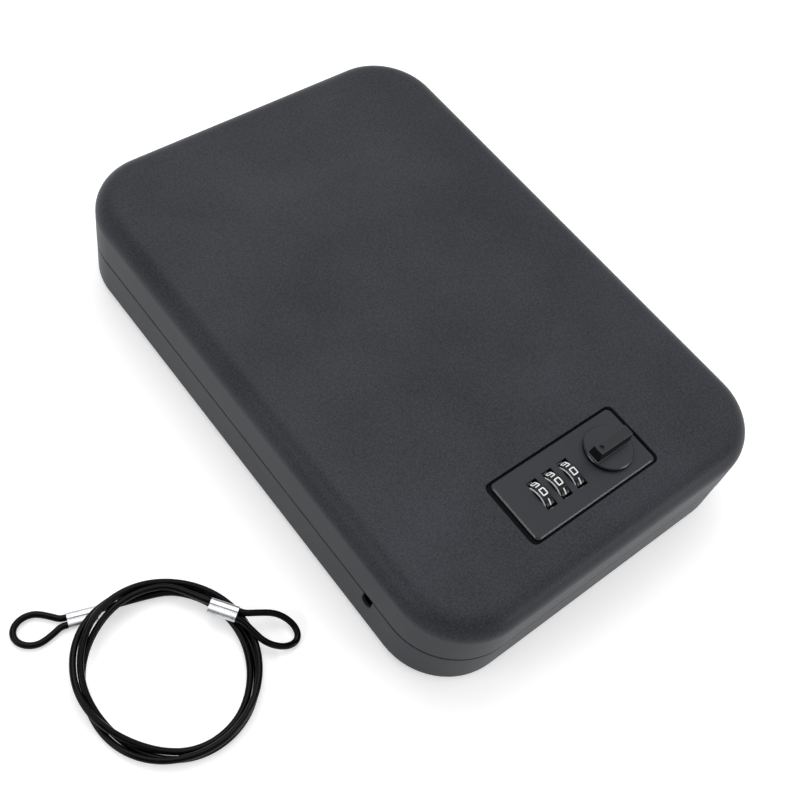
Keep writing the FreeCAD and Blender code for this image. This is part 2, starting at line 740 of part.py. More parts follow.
def latch_cam():
    body = new_body("latch_cam")
    hub = sketch_on(body, "XY_Plane", CAM_BOTTOM)
    circle(hub, "knob_offset", LOCK_Y, "cam_hub / 2")
    pad(body, hub, "cam_thickness")
    arm = sketch_on(body, "XY_Plane", CAM_BOTTOM)
    span(arm, ("knob_offset", f"{LOCK_Y} - cam_width / 2"),
         ("knob_offset + cam_reach", f"{LOCK_Y} + cam_width / 2"))
    solid = pad(body, arm, "cam_thickness")
    end = size("knob_offset + cam_reach")
    tips = edges(solid, lambda edge: upright(edge) and edge.BoundBox.XMin > end - CLOSE)
    round_edges(body, solid, tips, "cam_tip_radius")
    hole = sketch_on(body, "XY_Plane", CAM_BOTTOM)
    side = "(spindle_square + 2 * fit_gap)"
    rectangle(hole, "knob_offset", LOCK_Y, side, side)
    pocket(body, hole, "cam_thickness", back=True)


def cam_fasteners():
    hole = "spindle_square / 2 + fit_gap"
    washer_z = f"{CAM_BOTTOM} - cam_washer_thickness"
    disc = cylinder("washer_blank", "cam_washer_diameter / 2", "cam_washer_thickness",
                    "knob_offset", LOCK_Y, washer_z)
    eye = cylinder("washer_hole", hole, "cam_washer_thickness", "knob_offset", LOCK_Y, washer_z)
    node(cut("cam_washer", disc, eye), "cam_washer")
    nut_z = f"{washer_z} - cam_nut_height"
    blank = hexagon("cam_nut_blank", "cam_nut_corners", "cam_nut_height", "knob_offset", LOCK_Y, nut_z)
    bore = cylinder("cam_nut_hole", hole, "cam_nut_height", "knob_offset", LOCK_Y, nut_z)
    node(cut("cam_nut", blank, bore), "cam_nut")


def bump(angle, centre, reach):
    """A smooth rise from 0 to 1 and back, round one place of the coil."""
    away = abs((angle - centre + FULL_TURN / 2) % FULL_TURN - FULL_TURN / 2)
    return math.cos(math.radians(90 * away / reach)) ** 2 if away < reach else 0.0


def coil_point(angle):
    """A point of the coil, the angle running clockwise from twelve o'clock through every turn.

    The turns lie round each other like the strands of a loose rope.
    """
    lay = math.radians(size("strand_start") + size("strand_twist") * angle / FULL_TURN)
    loose = 1 + size("coil_loose") * bump(angle, size("coil_loose_at"), size("coil_loose_reach"))
    out = size("coil_radius") + loose * size("strand_radius") * math.cos(lay)
    lift = size("cable_diameter / 2 + floor_gap") + size("strand_radius") * (1 + math.sin(lay))
    lift += size("coil_hump") * bump(angle, size("coil_hump_at"), size("coil_hump_reach"))
    turn = math.radians(angle)
    return Vector(out * math.sin(turn), out * math.cos(turn), lift)


def coil_heading(angle):
    step = 0.5
    return (coil_point(angle + step) - coil_point(angle - step)).normalize()


def arc_between(start, control, end):
    """The arc from start to end that is tangent to both lines through the control point."""
    middle = (start + end) / 2
    rise = control - middle
    if rise.Length < 1e-6:
        return Part.LineSegment(start, end).toShape()
    half = (end - start).Length / 2
    sag = half * math.tan(math.atan2(rise.Length, half) / 2)
    return Part.Arc(start, middle + rise.normalize() * sag, end).toShape()


def biarc(start, heading, end, arrival):
    """Two tangent arcs from one point and heading to another."""
    across = end - start
    both = heading + arrival
    bend = 2 * (1 - heading.dot(arrival))
    along = across.dot(both)
    if bend < 1e-9:
        reach = across.dot(across) / (4 * across.dot(arrival))
    else:
        reach = (-along + math.sqrt(along ** 2 + bend * across.dot(across))) / bend
    first, last = start + heading * reach, end - arrival * reach
    join = (first + last) / 2
    return [arc_between(start, first, join), arc_between(join, last, end)]


def route(stations):
    """Edges through stations of a point and a heading each, straight where both headings line up."""
    found = []
    for (start, heading), (end, arrival) in zip(stations, stations[1:]):
        if (end - start).cross(heading).Length < 1e-6 and heading.dot(arrival) > 1 - 1e-9:
            found.append(Part.LineSegment(start, end).toShape())
        else:
            found += biarc(start, heading, end, arrival)
    return found


def measure(label, found):
    """Prints the cable's length, its tightest arc and its least gap to itself, measured on points.

    Points nearer along the cable than a few diameters are neighbours, not another strand.
    """
    diameter = size("cable_diameter")
    step, neighbours = diameter / 4, diameter * 3
    length = sum(edge.Length for edge in found)
    radii = [edge.Curve.Radius for edge in found if isinstance(edge.Curve, Part.Circle)]
    points, stations, run = [], [], 0.0
    for edge in found:
        count = max(2, int(edge.Length / step))
        for index, point in enumerate(edge.discretize(count)[:-1]):
            points.append(point)
            stations.append(run + edge.Length * index / (count - 1))
        run += edge.Length
    least = min((points[i].distanceToPoint(points[j]) for i in range(len(points))
                 for j in range(i + 1, len(points)) if stations[j] - stations[i] > neighbours),
                default=float("inf"))
    print(f"{label}: length {length:.1f}, least radius {min(radii):.2f}")
    print(f"{label}: least gap to itself {least - diameter:.2f}")
    return length


def tube(label, stations):
    """A round tube along a route, placed where the cable lies."""
    found = route(stations)
    length = measure(label, found)
    radius = size("cable_diameter / 2")
    start, heading = stations[0]
    section = Part.Wire(Part.Circle(start, heading, radius).toShape())
    solid = Part.Wire(found).makePipeShell([section], True, False)
    expected = math.pi * radius ** 2 * length
    print(f"{label}: volume {solid.Volume:.1f}, section times length {expected:.1f}")
    if abs(solid.Volume / expected - 1) > VOLUME_SPREAD:
        raise RuntimeError(f"{label} has volume {solid.Volume:.1f}, not {expected:.1f}")
    feature = doc.addObject("Part::Feature", label)
    feature.Shape = solid
    feature.Placement = cable_placement()
    node(feature, label)


def cable_placement():
    lie = Rotation(Vector(0, 0, 1), size("cable_turn"))
    return Placement(Vector(size("cable_x"), size("cable_y"), 0), lie)


def compass(degrees):
    angle = math.radians(degrees)
    return Vector(math.cos(angle), math.sin(angle), 0)


def ferrule_end(side):
    """Where the coil's strand enters a ferrule, and the heading along the ferrule there."""
    heading = compass(size(f"{side}_ferrule_heading"))
    lift = "(cable_diameter / 2 + ferrule_wall + floor_gap)"
    if side == "right":
        lift += " + right_ferrule_lift"
    return Vector(size(f"{side}_ferrule_a"), size(f"{side}_ferrule_b"), size(lift)), heading


def strand_offset(heading):
    """From a ferrule's axis to its left-hand strand."""
    return Vector(-heading.y, heading.x, 0) * size("(cable_diameter + strand_gap) / 2")


def cable_coil():
    straight = size("cable_diameter")
    left, left_way = ferrule_end("left")
    right, right_way = ferrule_end("right")
    start = left + strand_offset(left_way)
    end = right + strand_offset(right_way)
    stations = [(start, left_way), (start + left_way * straight, left_way)]
    for quarter in range(4 * int(size("coil_turns")) + 1):
        stations.append((coil_point(90 * quarter), coil_heading(90 * quarter)))
    stations += [(end - right_way * straight, right_way), (end, right_way)]
    tube("cable_coil", stations)


def cable_eye(side, outward):
    """The loop beyond a ferrule: out of one strand's place, round, and back into the other's."""
    end, heading = ferrule_end(side)
    way = heading * outward
    face = end + way * size("ferrule_length")
    aside = Vector(-way.y, way.x, 0)
    floor = size("cable_diameter / 2 + floor_gap")
    drop = floor - face.z

    def at(along, across, fall):
        return face + way * along + aside * across + Vector(0, 0, drop * fall)

    straight = size("cable_diameter")
    apart = size("(cable_diameter + strand_gap) / 2")
    length, width = f"{side}_eye_length", f"{side}_eye_width"
    wide = size(f"({width} - cable_diameter) / 2")
    widest, tip = size(f"{length} * eye_widest"), size(f"{length} - cable_diameter / 2")
    slope = Vector(0, 0, drop / tip)
    stations = [
        (at(0, apart, 0), way),
        (at(straight, apart, 0), way),
        (at(widest, wide, widest / tip), (way + slope).normalize()),
        (at(tip, 0, 1), aside * -1),
        (at(widest, -wide, widest / tip), (way * -1 - slope).normalize()),
        (at(straight, -apart, 0), way * -1),
        (at(0, -apart, 0), way * -1),
    ]
    tube(f"cable_eye_{side}", stations)


def cable_ferrule(side, outward):
    """A crimped sleeve round two strands side by side, with a groove along each face."""
    body = new_body(f"cable_ferrule_{side}")
    apart = "(cable_diameter + strand_gap)"
    thick = "(cable_diameter + 2 * ferrule_wall)"
    middle = sketch_on(body, "YZ_Plane")
    rectangle(middle, "0", "0", apart, thick)
    pad(body, middle, "ferrule_length")
    for side_of in ("-1", "1"):
        barrel = sketch_on(body, "YZ_Plane")
        circle(barrel, f"{side_of} * {apart} / 2", "0", f"{thick} / 2")
        pad(body, barrel, "ferrule_length")
    grooves = sketch_on(body, "YZ_Plane")
    for face in ("-1", "1"):
        circle(grooves, "0", f"{face} * {thick} / 2", "ferrule_groove / 2")
    pocket(body, grooves, "ferrule_length", back=True)
    end, heading = ferrule_end(side)
    turn = Rotation(Vector(1, 0, 0), heading * outward)
    body.Placement = cable_placement() * Placement(end, turn)


def cable():
    cable_coil()
    for side, outward in (("left", -1), ("right", 1)):
        cable_eye(side, outward)
        cable_ferrule(side, outward)


base_shell()
lid_shell()
foam()
hinge()
strike_bracket()
lock_body()
lock_cover()
lock_fasteners()
dial_axle()
for name, x in DIALS.items():
    dial_wheel(name, x)
    code_sleeve(name, x)
detent_spring()
knob()
knob_spindle()
latch_cam()
cam_fasteners()
cable()
doc.recompute()

for feature in doc.Objects:
    if {"Invalid", "Error"} & set(feature.State):
        raise RuntimeError(f"{feature.Label} failed: {feature.State}")
for feature in nodes:
    if feature.Shape.isNull() or not feature.Shape.isValid():
        raise RuntimeError(f"{feature.Label} has no valid shape")

os.makedirs("parts", exist_ok=True)
for feature in nodes:
    feature.Shape.exportStep(f"parts/{feature.Label}.step")
    print(feature.Label, len(feature.Shape.Solids), round(feature.Shape.Volume, 1))
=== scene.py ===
import math

import bmesh
import bpy
from mathutils import Matrix, Vector, noise


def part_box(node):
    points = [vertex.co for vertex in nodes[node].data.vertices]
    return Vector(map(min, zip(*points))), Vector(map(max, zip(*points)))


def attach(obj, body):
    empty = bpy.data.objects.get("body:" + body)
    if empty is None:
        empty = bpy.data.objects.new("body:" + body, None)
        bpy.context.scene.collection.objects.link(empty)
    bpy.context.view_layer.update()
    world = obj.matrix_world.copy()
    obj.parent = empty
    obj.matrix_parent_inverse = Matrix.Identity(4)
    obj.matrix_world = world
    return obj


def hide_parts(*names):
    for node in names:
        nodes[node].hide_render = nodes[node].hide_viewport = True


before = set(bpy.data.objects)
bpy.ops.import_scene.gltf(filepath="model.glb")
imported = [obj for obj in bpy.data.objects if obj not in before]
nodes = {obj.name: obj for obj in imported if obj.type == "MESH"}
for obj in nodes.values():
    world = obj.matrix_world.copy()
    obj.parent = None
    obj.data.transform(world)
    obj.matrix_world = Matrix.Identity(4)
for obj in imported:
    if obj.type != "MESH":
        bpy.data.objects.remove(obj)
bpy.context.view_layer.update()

MM = 0.001
scene = bpy.context.scene


# camera, fitted to the box's outline in the photograph, in millimetres and degrees
CAMERA_PLACE = (-226.08, -170.44, 394.57)
CAMERA_AZIMUTH = -51.68
CAMERA_ELEVATION = 56.11
CAMERA_ROLL = 16.39
CAMERA_SENSOR = 36
CAMERA_LENS = 52.4
CAMERA_SHIFT = (0.0319, -0.0052)
CAMERA_CLIP_M = (0.01, 20)


def add_camera():
    azimuth = math.radians(CAMERA_AZIMUTH)
    elevation = math.radians(CAMERA_ELEVATION)
    roll = math.radians(CAMERA_ROLL)
    back = Vector((math.sin(azimuth) * math.cos(elevation), -math.cos(azimuth) * math.cos(elevation),
                   math.sin(elevation)))
    level = Vector((math.cos(azimuth), math.sin(azimuth), 0))
    upright = back.cross(level)
    right = math.cos(roll) * level + math.sin(roll) * upright
    up = math.cos(roll) * upright - math.sin(roll) * level
    data = bpy.data.cameras.new("camera")
    data.sensor_width = CAMERA_SENSOR
    data.lens = CAMERA_LENS
    data.shift_x, data.shift_y = CAMERA_SHIFT
    data.clip_start, data.clip_end = CAMERA_CLIP_M
    camera = bpy.data.objects.new("camera", data)
    turn = Matrix((right, up, back)).transposed().to_4x4()
    camera.matrix_world = Matrix.Translation(Vector(CAMERA_PLACE) * MM) @ turn
    scene.collection.objects.link(camera)
    scene.camera = camera


# nodes of materials and of the world
NOISE_RANGE = (0.3, 0.7)  # where most of a noise lies
WAVE_RADIANS = 20  # in one unit of the wave texture


class NodeTree:
    """The nodes of a material or of the world, as they are added."""

    def __init__(self, owner):
        owner.use_nodes = True
        self.nodes = owner.node_tree.nodes
        self.links = owner.node_tree.links

    def put(self, socket, value):
        """Link another node's output, or set a value that is the same all over."""
        if isinstance(value, bpy.types.NodeSocket):
            self.links.new(value, socket)
        else:
            socket.default_value = value

    def set(self, node, **values):
        for name, value in values.items():
            self.put(node.inputs[name.replace("_", " ")], value)

    def add(self, kind, **values):
        node = self.nodes.new(f"ShaderNode{kind}")
        self.set(node, **values)
        return node

    def math(self, operation, first, second):
        node = self.add("Math")
        node.operation = operation
        self.put(node.inputs[0], first)
        self.put(node.inputs[1], second)
        return node.outputs["Value"]

    def ramp(self, value, *stops):
        """Colours or greys between places of a value."""
        node = self.add("ValToRGB", Fac=value)
        elements = node.color_ramp.elements
        while len(elements) < len(stops):
            elements.new(1.0)
        for element, (at, colour) in zip(elements, stops):
            element.position = at
            element.color = colour if isinstance(colour, tuple) else grey(colour)
        return node.outputs["Color"]

    def seen(self):
        """1 for what is seen, straight, in a reflection or through glass, and 0 for light on other things."""
        path = self.add("LightPath")
        rays = path.outputs["Is Camera Ray"]
        for kind in ("Is Glossy Ray", "Is Transmission Ray"):
            rays = self.math("MAXIMUM", rays, path.outputs[kind])
        return rays


class Shader(NodeTree):
    """The nodes of a surface; coordinates are the piece's own, in metres."""

    def __init__(self, name, **sockets):
        self.material = bpy.data.materials.new(name)
        super().__init__(self.material)
        self.surface = self.nodes["Principled BSDF"]
        self.place = self.add("TexCoord").outputs["Object"]
        self.set(self.surface, **sockets)

    def noise(self, size_mm, detail=2.0, roughness=0.5, place=None):
        node = self.add("TexNoise", Vector=place or self.place, Scale=1 / (size_mm * MM), Detail=detail,
                        Roughness=roughness)
        return node.outputs["Fac"]

    def stretched(self, x, y, z):
        node = self.add("Mapping", Vector=self.place, Scale=(x, y, z))
        return node.outputs["Vector"]

    def spread(self, value, low, high):
        """From one colour or grey to another over the range that most of a noise lies in."""
        return self.ramp(value, *zip(NOISE_RANGE, (low, high)))

    def by_height(self, *stops):
        """Colours or greys between the heights of a piece at rest, in millimetres."""
        low, high = stops[0][0], stops[-1][0]
        height = self.add("SeparateXYZ", Vector=self.place).outputs["Z"]
        share = self.add("MapRange", Value=height, From_Min=low * MM, From_Max=high * MM).outputs["Result"]
        return self.ramp(share, *(((at - low) / (high - low), colour) for at, colour in stops))

    def bump(self, height, depth_mm, strength, under=None):
        node = self.add("Bump", Height=height, Distance=depth_mm * MM, Strength=strength)
        if under:
            self.put(node.inputs["Normal"], under)
        return node.outputs["Normal"]

    def done(self, **values):
        self.set(self.surface, **values)
        return self.material


def grey(value, blue=1.0):
    """A grey, cooler where blue is above 1 and warmer below."""
    green = 1 + 0.3 * (blue - 1)
    return (value, value * green, value * blue, 1)


# materials
def powder_coat():
    """Charcoal powder coat: fine grain, a soft orange peel and faint cloudiness."""
    shader = Shader("powder_coat", Specular_IOR_Level=0.13)
    grain = shader.noise(size_mm=0.7, detail=3.0, roughness=0.6)
    peel = shader.noise(size_mm=1.6, detail=1.0)
    cloud = shader.noise(size_mm=45)
    mottle = shader.math("ADD", shader.math("MULTIPLY", grain, 0.7), shader.math("MULTIPLY", cloud, 0.3))
    colour = shader.ramp(mottle, (0.36, grey(0.021, blue=1.27)), (0.64, grey(0.046, blue=1.27)))
    roughness = shader.spread(grain, 0.38, 0.5)
    soft = shader.bump(peel, depth_mm=0.05, strength=0.35)
    normal = shader.bump(grain, depth_mm=0.06, strength=0.7, under=soft)
    return shader.done(Base_Color=colour, Roughness=roughness, Normal=normal)


def dial_plastic():
    """Black moulding with a fine spark-eroded grain and slight flow marks."""
    shader = Shader("dial_plastic", Specular_IOR_Level=0.25)
    grain = shader.noise(size_mm=0.12)
    flow = shader.noise(size_mm=9, place=shader.stretched(0.3, 1, 1))
    colour = shader.spread(flow, grey(0.004, blue=1.35), grey(0.007, blue=1.35))
    roughness = shader.spread(flow, 0.26, 0.35)
    normal = shader.bump(grain, depth_mm=0.01, strength=0.5)
    return shader.done(Base_Color=colour, Roughness=roughness, Normal=normal)


def lock_plastic():
    """Dark moulding: a satin grey face, a paler and smoother bevel that is a painted highlight, and black
    sides in the gap round it that are painted shade.
    """
    shader = Shader("lock_plastic", Specular_IOR_Level=0.2)
    grain = shader.noise(size_mm=0.15)
    # gap is painted shade, black in the gap round the face; bevel is a painted highlight, paler than the face
    case, gap = grey(0.012, blue=1.1), grey(0.001)
    bevel, face = grey(0.06, blue=1.2), grey(0.031, blue=1.27)
    colour = shader.by_height((43.0, case), (43.6, gap), (44.5, gap), (44.65, bevel), (45.1, bevel),
                              (45.19, face))
    dull = shader.by_height((43.0, 1.0), (43.6, 1.9), (44.5, 1.9), (44.65, 0.5), (45.1, 0.5), (45.19, 1.0))
    roughness = shader.math("MULTIPLY", shader.spread(grain, 0.4, 0.5), dull)
    normal = shader.bump(grain, depth_mm=0.01, strength=0.5)
    return shader.done(Base_Color=colour, Roughness=roughness, Normal=normal)


def knob_plastic():
    """Black moulding, its greys set by height as painted light and shade: a polished disc painted lighter
    than the bar, over a darker rim that is a painted shadow, and a bar with painted shade on its sides, paler
    along its foot and top edges as painted highlights.
    """
    shader = Shader("knob_plastic", Specular_IOR_Level=0.3)
    grain = shader.noise(size_mm=0.12)
    flow = shader.noise(size_mm=9, place=shader.stretched(0.3, 1, 1))
    # painted light and shade: rim is a painted shadow under the disc, disc is painted lighter than the bar's
    # top, foot and edge are painted highlights, side is painted shade
    rim, disc, foot = grey(0.002), grey(0.023, blue=1.35), grey(0.34, blue=1.15)
    side, edge, top = grey(0.007, blue=1.2), grey(0.05, blue=1.2), grey(0.015, blue=1.35)
    colour = shader.by_height((46.47, rim), (46.6, disc), (47.01, disc), (47.04, foot), (47.28, foot),
                              (47.43, side), (51.92, side), (52.06, edge), (52.3, edge), (52.37, top))
    dull = shader.by_height((47.02, 0.7), (47.22, 1.0))
    roughness = shader.math("MULTIPLY", shader.spread(flow, 0.32, 0.4), dull)
    normal = shader.bump(grain, depth_mm=0.01, strength=0.4)
    return shader.done(Base_Color=colour, Roughness=roughness, Normal=normal)


def metal(name, low, high, rough, stretch, tint=1.0, thread_mm=None):
    """Metal with a drawn or rolled grain, and thread ridges where it is a screw."""
    shader = Shader(name, Metallic=1.0)
    grain = shader.noise(size_mm=0.25, detail=3.0, roughness=0.6, place=shader.stretched(*stretch))
    blotch = shader.noise(size_mm=5)
    colour = shader.spread(blotch, grey(low, tint), grey(high, tint))
    roughness = shader.spread(grain, rough, rough + 0.16)
    normal = shader.bump(grain, depth_mm=0.01, strength=0.5)
    if thread_mm:
        waves = 2 * math.pi / WAVE_RADIANS / (thread_mm * MM)
        ridges = shader.add("TexWave", Vector=shader.place, Scale=waves)
        ridges.bands_direction = "Z"
        normal = shader.bump(ridges.outputs["Fac"], depth_mm=0.3 * thread_mm, strength=0.9, under=normal)
    return shader.done(Base_Color=colour, Roughness=roughness, Normal=normal)


def vinyl():
    """Glossy black vinyl sleeve, slightly uneven and dusty."""
    shader = Shader("cable_vinyl", Specular_IOR_Level=0.1)
    dust = shader.noise(size_mm=2.5, detail=3.0)
    uneven = shader.noise(size_mm=0.9, detail=1.0)
    colour = shader.ramp(dust, (0.35, grey(0.001)), (0.7, grey(0.003)))
    roughness = shader.spread(dust, 0.12, 0.2)
    normal = shader.bump(uneven, depth_mm=0.03, strength=0.5)
    return shader.done(Base_Color=colour, Roughness=roughness, Normal=normal)


def foam():
    """Dark open-cell foam: pores of about a millimetre, with painted shade down in them."""
    shader = Shader("foam", Specular_IOR_Level=0.2, Sheen_Weight=0.25, Sheen_Roughness=0.6, Roughness=0.95)
    pore_mm = 0.9
    cells = shader.add("TexVoronoi", Vector=shader.place, Scale=1 / (pore_mm * MM))
    fuzz = shader.noise(size_mm=0.4, detail=3.0, roughness=0.6)
    depth = shader.math("MULTIPLY", cells.outputs["Distance"], fuzz)
    # darker down in the pores: painted shade
    colour = shader.ramp(depth, (0.05, grey(0.016)), (0.4, grey(0.04)))
    return shader.done(Base_Color=colour, Normal=shader.bump(depth, depth_mm=0.5, strength=0.8))


def digit_paint_and_highlight():
    """White paint, a little worn; on the wheels' pale rings it is a painted highlight."""
    shader = Shader("digit_paint_and_highlight", Specular_IOR_Level=0.4)
    wear = shader.noise(size_mm=0.5, detail=3.0)
    colour = shader.ramp(wear, (0.3, grey(0.84)), (0.6, grey(0.95)))
    return shader.done(Base_Color=colour, Roughness=shader.spread(wear, 0.5, 0.38))


def paint_nodes():
    finishes = (
        (powder_coat(), ("base_shell", "lid_shell", "hinge_leaf_base", "hinge_leaf_lid")),
        (metal("plated_steel", low=0.36, high=0.42, rough=0.32, stretch=(0.15, 1, 1), tint=1.04),
         ("hinge_pin", "strike_bracket", "lock_cover", "lock_cover_screws", "lock_nuts", "dial_axle",
          "latch_cam", "cam_nut")),
        (metal("threaded_steel", low=0.34, high=0.42, rough=0.3, stretch=(1, 1, 0.2), tint=1.04,
               thread_mm=0.5),
         ("lock_studs", "knob_spindle")),
        (metal("spring_steel", low=0.32, high=0.42, rough=0.22, stretch=(1, 0.1, 1)),
         ("detent_spring", "cam_washer")),
        (metal("turned_brass", low=0.55, high=0.68, rough=0.25, stretch=(0.1, 1, 1), tint=0.45),
         ("code_sleeve_1", "code_sleeve_2", "code_sleeve_3")),
        (metal("ferrule_aluminium", low=0.5, high=0.66, rough=0.24, stretch=(0.3, 0.3, 1), tint=1.04),
         ("cable_ferrule_left", "cable_ferrule_right")),
        (lock_plastic(), ("lock_body",)),
        (knob_plastic(), ("knob",)),
        (dial_plastic(), ("dial_wheel_1", "dial_wheel_2", "dial_wheel_3")),
    )
    for material, names in finishes:
        for name in names:
            mesh = nodes[name].data
            mesh.materials.clear()
            mesh.materials.append(material)


# meshes
def add_mesh(name, vertices, faces, material, smooth=True):
    mesh = bpy.data.meshes.new(name)
    mesh.from_pydata(vertices, [], faces)
    mesh.validate()
    made = bmesh.new()
    made.from_mesh(mesh)
    bmesh.ops.recalc_face_normals(made, faces=made.faces)
    made.to_mesh(mesh)
    made.free()
    if smooth:
        mesh.shade_smooth()
    else:
        mesh.shade_flat()
    mesh.materials.append(material)
    piece = bpy.data.objects.new(name, mesh)
    scene.collection.objects.link(piece)
    return piece


def band(first, second, count):
    """Faces between two closed loops of vertices."""
    return [(first + step, first + (step + 1) % count, second + (step + 1) % count, second + step)
            for step in range(count)]


# tether cable, in millimetres, with angles round the coil in degrees clockwise from twelve o'clock
CABLE_D = 2.4
CABLE_LIES_AT = 1.3
COIL_MIDDLE = (-149.7, -57.6, 0)
COIL_HEADING = -34.7
COIL_TURNS = 3
COIL_STEP = 15
COIL_R = 29.87
BUNDLE_R = 1.78
CABLE_PLACE = Matrix.Translation(Vector(COIL_MIDDLE)) @ Matrix.Rotation(math.radians(COIL_HEADING), 4, "Z")

# how far a strand has turned round the middle of the bundle at angles of the first turn
LAY = ((0, 193), (60, 187), (120, 235), (160, 229), (200, 164), (245, 70), (300, -5), (360, -77))
LAY_PER_TURN = -270

# waves that make the coil unround: how many in a turn, and their cosine and sine parts
COIL_WAVES = ((1, 1.24, 0.14), (2, -0.13, -0.53), (3, 0.0, 0.21))

# swells: the angle of the middle, the reach to each side and the size
LOOSE_BOTTOM = (200, 45, 0.07)
LOOSE_TEN_O_CLOCK = (300, 40, 0.34)
STACKED = (250, 50, 0.28)
OVER_FERRULE = (-48, 80, 3.2)
LAST_TURN_OUT = (768, 60, 0.32)
LAST_TURN_DOWN = (790, 60, 0.16)

# ferrules: the middle of the end towards the coil, and the heading in degrees anticlockwise from the right
FERRULE_LEFT = ((-24.9, 21.6, 1.65), 15.8)
FERRULE_RIGHT = ((13.6, 22.9, 6.95), -19.3)
FERRULE_LENGTH = 10.3
STRAND_APART = 1.43
INTO_COIL = (-7.6, 28.05, 2.85)

# eyes: the length beyond the ferrule, half the width and the sideways bend at the tip
EYE_LEFT = (18.4, 5.55, 0.0)
EYE_RIGHT = (22.5, 5.6, 0.9)
EYE_WIDEST_AT = 0.59  # of its length
EYE_NECK = (0.45, 0.58)  # of the way to the widest place, and of half the width
EYE_ROUND = (105, 75, 45, 15)  # directions of the points round its tip
EYE_ROUND_STEP = 30
EYE_DROOP = 1.6  # the higher, the nearer to its tip it comes down


def swell(away, reach, size):
    """A smooth rise and fall: its size in the middle and nothing beyond its reach."""
    return size * math.cos(math.radians(90 * away / reach)) ** 2 if away < reach else 0.0


def each_turn(angle, middle, reach, size):
    return swell(abs((angle - middle + 180) % 360 - 180), reach, size)


def one_turn(angle, middle, reach, size):
    return swell(abs(angle - middle), reach, size)


def lay_at(angle):
    """How far a strand has turned round the middle of the bundle."""
    turns, rest = divmod(angle, 360)
    for (start, before), (end, after) in zip(LAY, LAY[1:]):
        if rest <= end:
            return before + (after - before) * (rest - start) / (end - start) + LAY_PER_TURN * turns


def coil_point(angle):
    """A point of the turns, which are laid round each other and lie looser in two places."""
    lay, turn = math.radians(lay_at(angle)), math.radians(angle)
    loose = 1 + each_turn(angle, *LOOSE_BOTTOM) + each_turn(angle, *LOOSE_TEN_O_CLOCK)
    stacked = 1 + each_turn(angle, *STACKED)
    out = COIL_R + loose * BUNDLE_R * math.cos(lay) + one_turn(angle, *LAST_TURN_OUT)
    for count, cosine, sine in COIL_WAVES:
        out += cosine * math.cos(count * turn) + sine * math.sin(count * turn)
    lift = CABLE_LIES_AT + stacked * BUNDLE_R * (1 + math.sin(lay))
    lift += each_turn(angle, *OVER_FERRULE) - one_turn(angle, *LAST_TURN_DOWN)
    return Vector((out * math.sin(turn), out * math.cos(turn), lift))


def ferrule_run(end, heading):
    """The end of a ferrule towards the coil, the way along it and the way to its left-hand strand."""
    angle = math.radians(heading)
    way = Vector((math.cos(angle), math.sin(angle), 0))
    return Vector(end), way, Vector((-way.y, way.x, 0)) * STRAND_APART


def eye_points(face, way, aside, tip, wide, bend):
    """The loop beyond a ferrule, from one strand's place round to the other's, falling to the floor."""
    widest = EYE_WIDEST_AT * (tip + CABLE_D / 2)
    neck_along, neck_across = EYE_NECK
    half = [(0, STRAND_APART), (CABLE_D, STRAND_APART), (neck_along * widest, neck_across * wide)]
    outside = 1 / math.cos(math.radians(EYE_ROUND_STEP / 2))
    for turn in EYE_ROUND:
        angle = math.radians(turn)
        half.append((widest + outside * (tip - widest) * math.cos(angle), outside * wide * math.sin(angle)))
    loop = half + [(along, -across) for along, across in reversed(half)]
    drop = Vector((0, 0, CABLE_LIES_AT - face.z))
    side = aside.normalized()
    points = []
    for along, across in loop:
        share = min(1.0, max(0.0, along / tip))
        points.append(face + way * along + side * (across + bend * share ** 2) + drop * share ** EYE_DROOP)
    return points


def cable_points():
    """The whole cable, from the end in the left ferrule to the end in the right one."""
    left, left_way, left_aside = ferrule_run(*FERRULE_LEFT)
    right, right_way, right_aside = ferrule_run(*FERRULE_RIGHT)
    points = [left - left_aside]
    points += eye_points(left - left_way * FERRULE_LENGTH, -left_way, -left_aside, *EYE_LEFT)
    points += [left + left_aside, left + left_aside + left_way * CABLE_D, Vector(INTO_COIL)]
    points += [coil_point(angle) for angle in range(0, 360 * COIL_TURNS + 1, COIL_STEP)]
    points += [right + right_aside - right_way * CABLE_D, right + right_aside]
    points += eye_points(right + right_way * FERRULE_LENGTH, right_way, right_aside, *EYE_RIGHT)
    points += [right - right_aside]
    return [CABLE_PLACE @ point * MM for point in points]


def add_cable():
    points = cable_points()
    data = bpy.data.curves.new("tether_cable", "CURVE")
    data.dimensions = "3D"
    data.bevel_depth = CABLE_D / 2 * MM
    data.bevel_resolution = 6
    data.resolution_u = 6
    data.use_fill_caps = True
    spline = data.splines.new("NURBS")
    spline.points.add(len(points) - 1)
    for target, point in zip(spline.points, points):
        target.co = (*point, 1)
    spline.order_u = 3
    spline.use_endpoint_u = True
    data.materials.append(vinyl())
    cable = bpy.data.objects.new("tether_cable", data)
    scene.collection.objects.link(cable)
    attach(cable, "base")
    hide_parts("cable_coil", "cable_eye_left", "cable_eye_right")


# foam liners, in millimetres
FOAM_EDGE_R = 2.2
FOAM_EDGE_STEPS = 4
FOAM_CORNER_STEPS = 8
FOAM_LEAST_CORNER = 2
FOAM_FOOT_IN = 3.2
FOAM_FOOT_SHARE = 0.6
FOAM_UNEVEN = 0.35
FOAM_UNEVEN_SIZE = 28
FOAM_MOST_PROUD = 0.1
FOAM_FACE_RINGS = (0.06, 0.12, 0.2, 0.3, 0.4, 0.5, 0.6, 0.7, 0.8, 0.9)


def rounded_outline(half_x, half_y, radius):
    outline = []
    for quarter, (side_x, side_y) in enumerate(((1, 1), (-1, 1), (-1, -1), (1, -1))):
        for step in range(FOAM_CORNER_STEPS + 1):
            angle = math.pi / 2 * (quarter + step / FOAM_CORNER_STEPS)
            outline.append((side_x * (half_x - radius) + radius * math.cos(angle),
                            side_y * (half_y - radius) + radius * math.sin(angle)))
    return outline


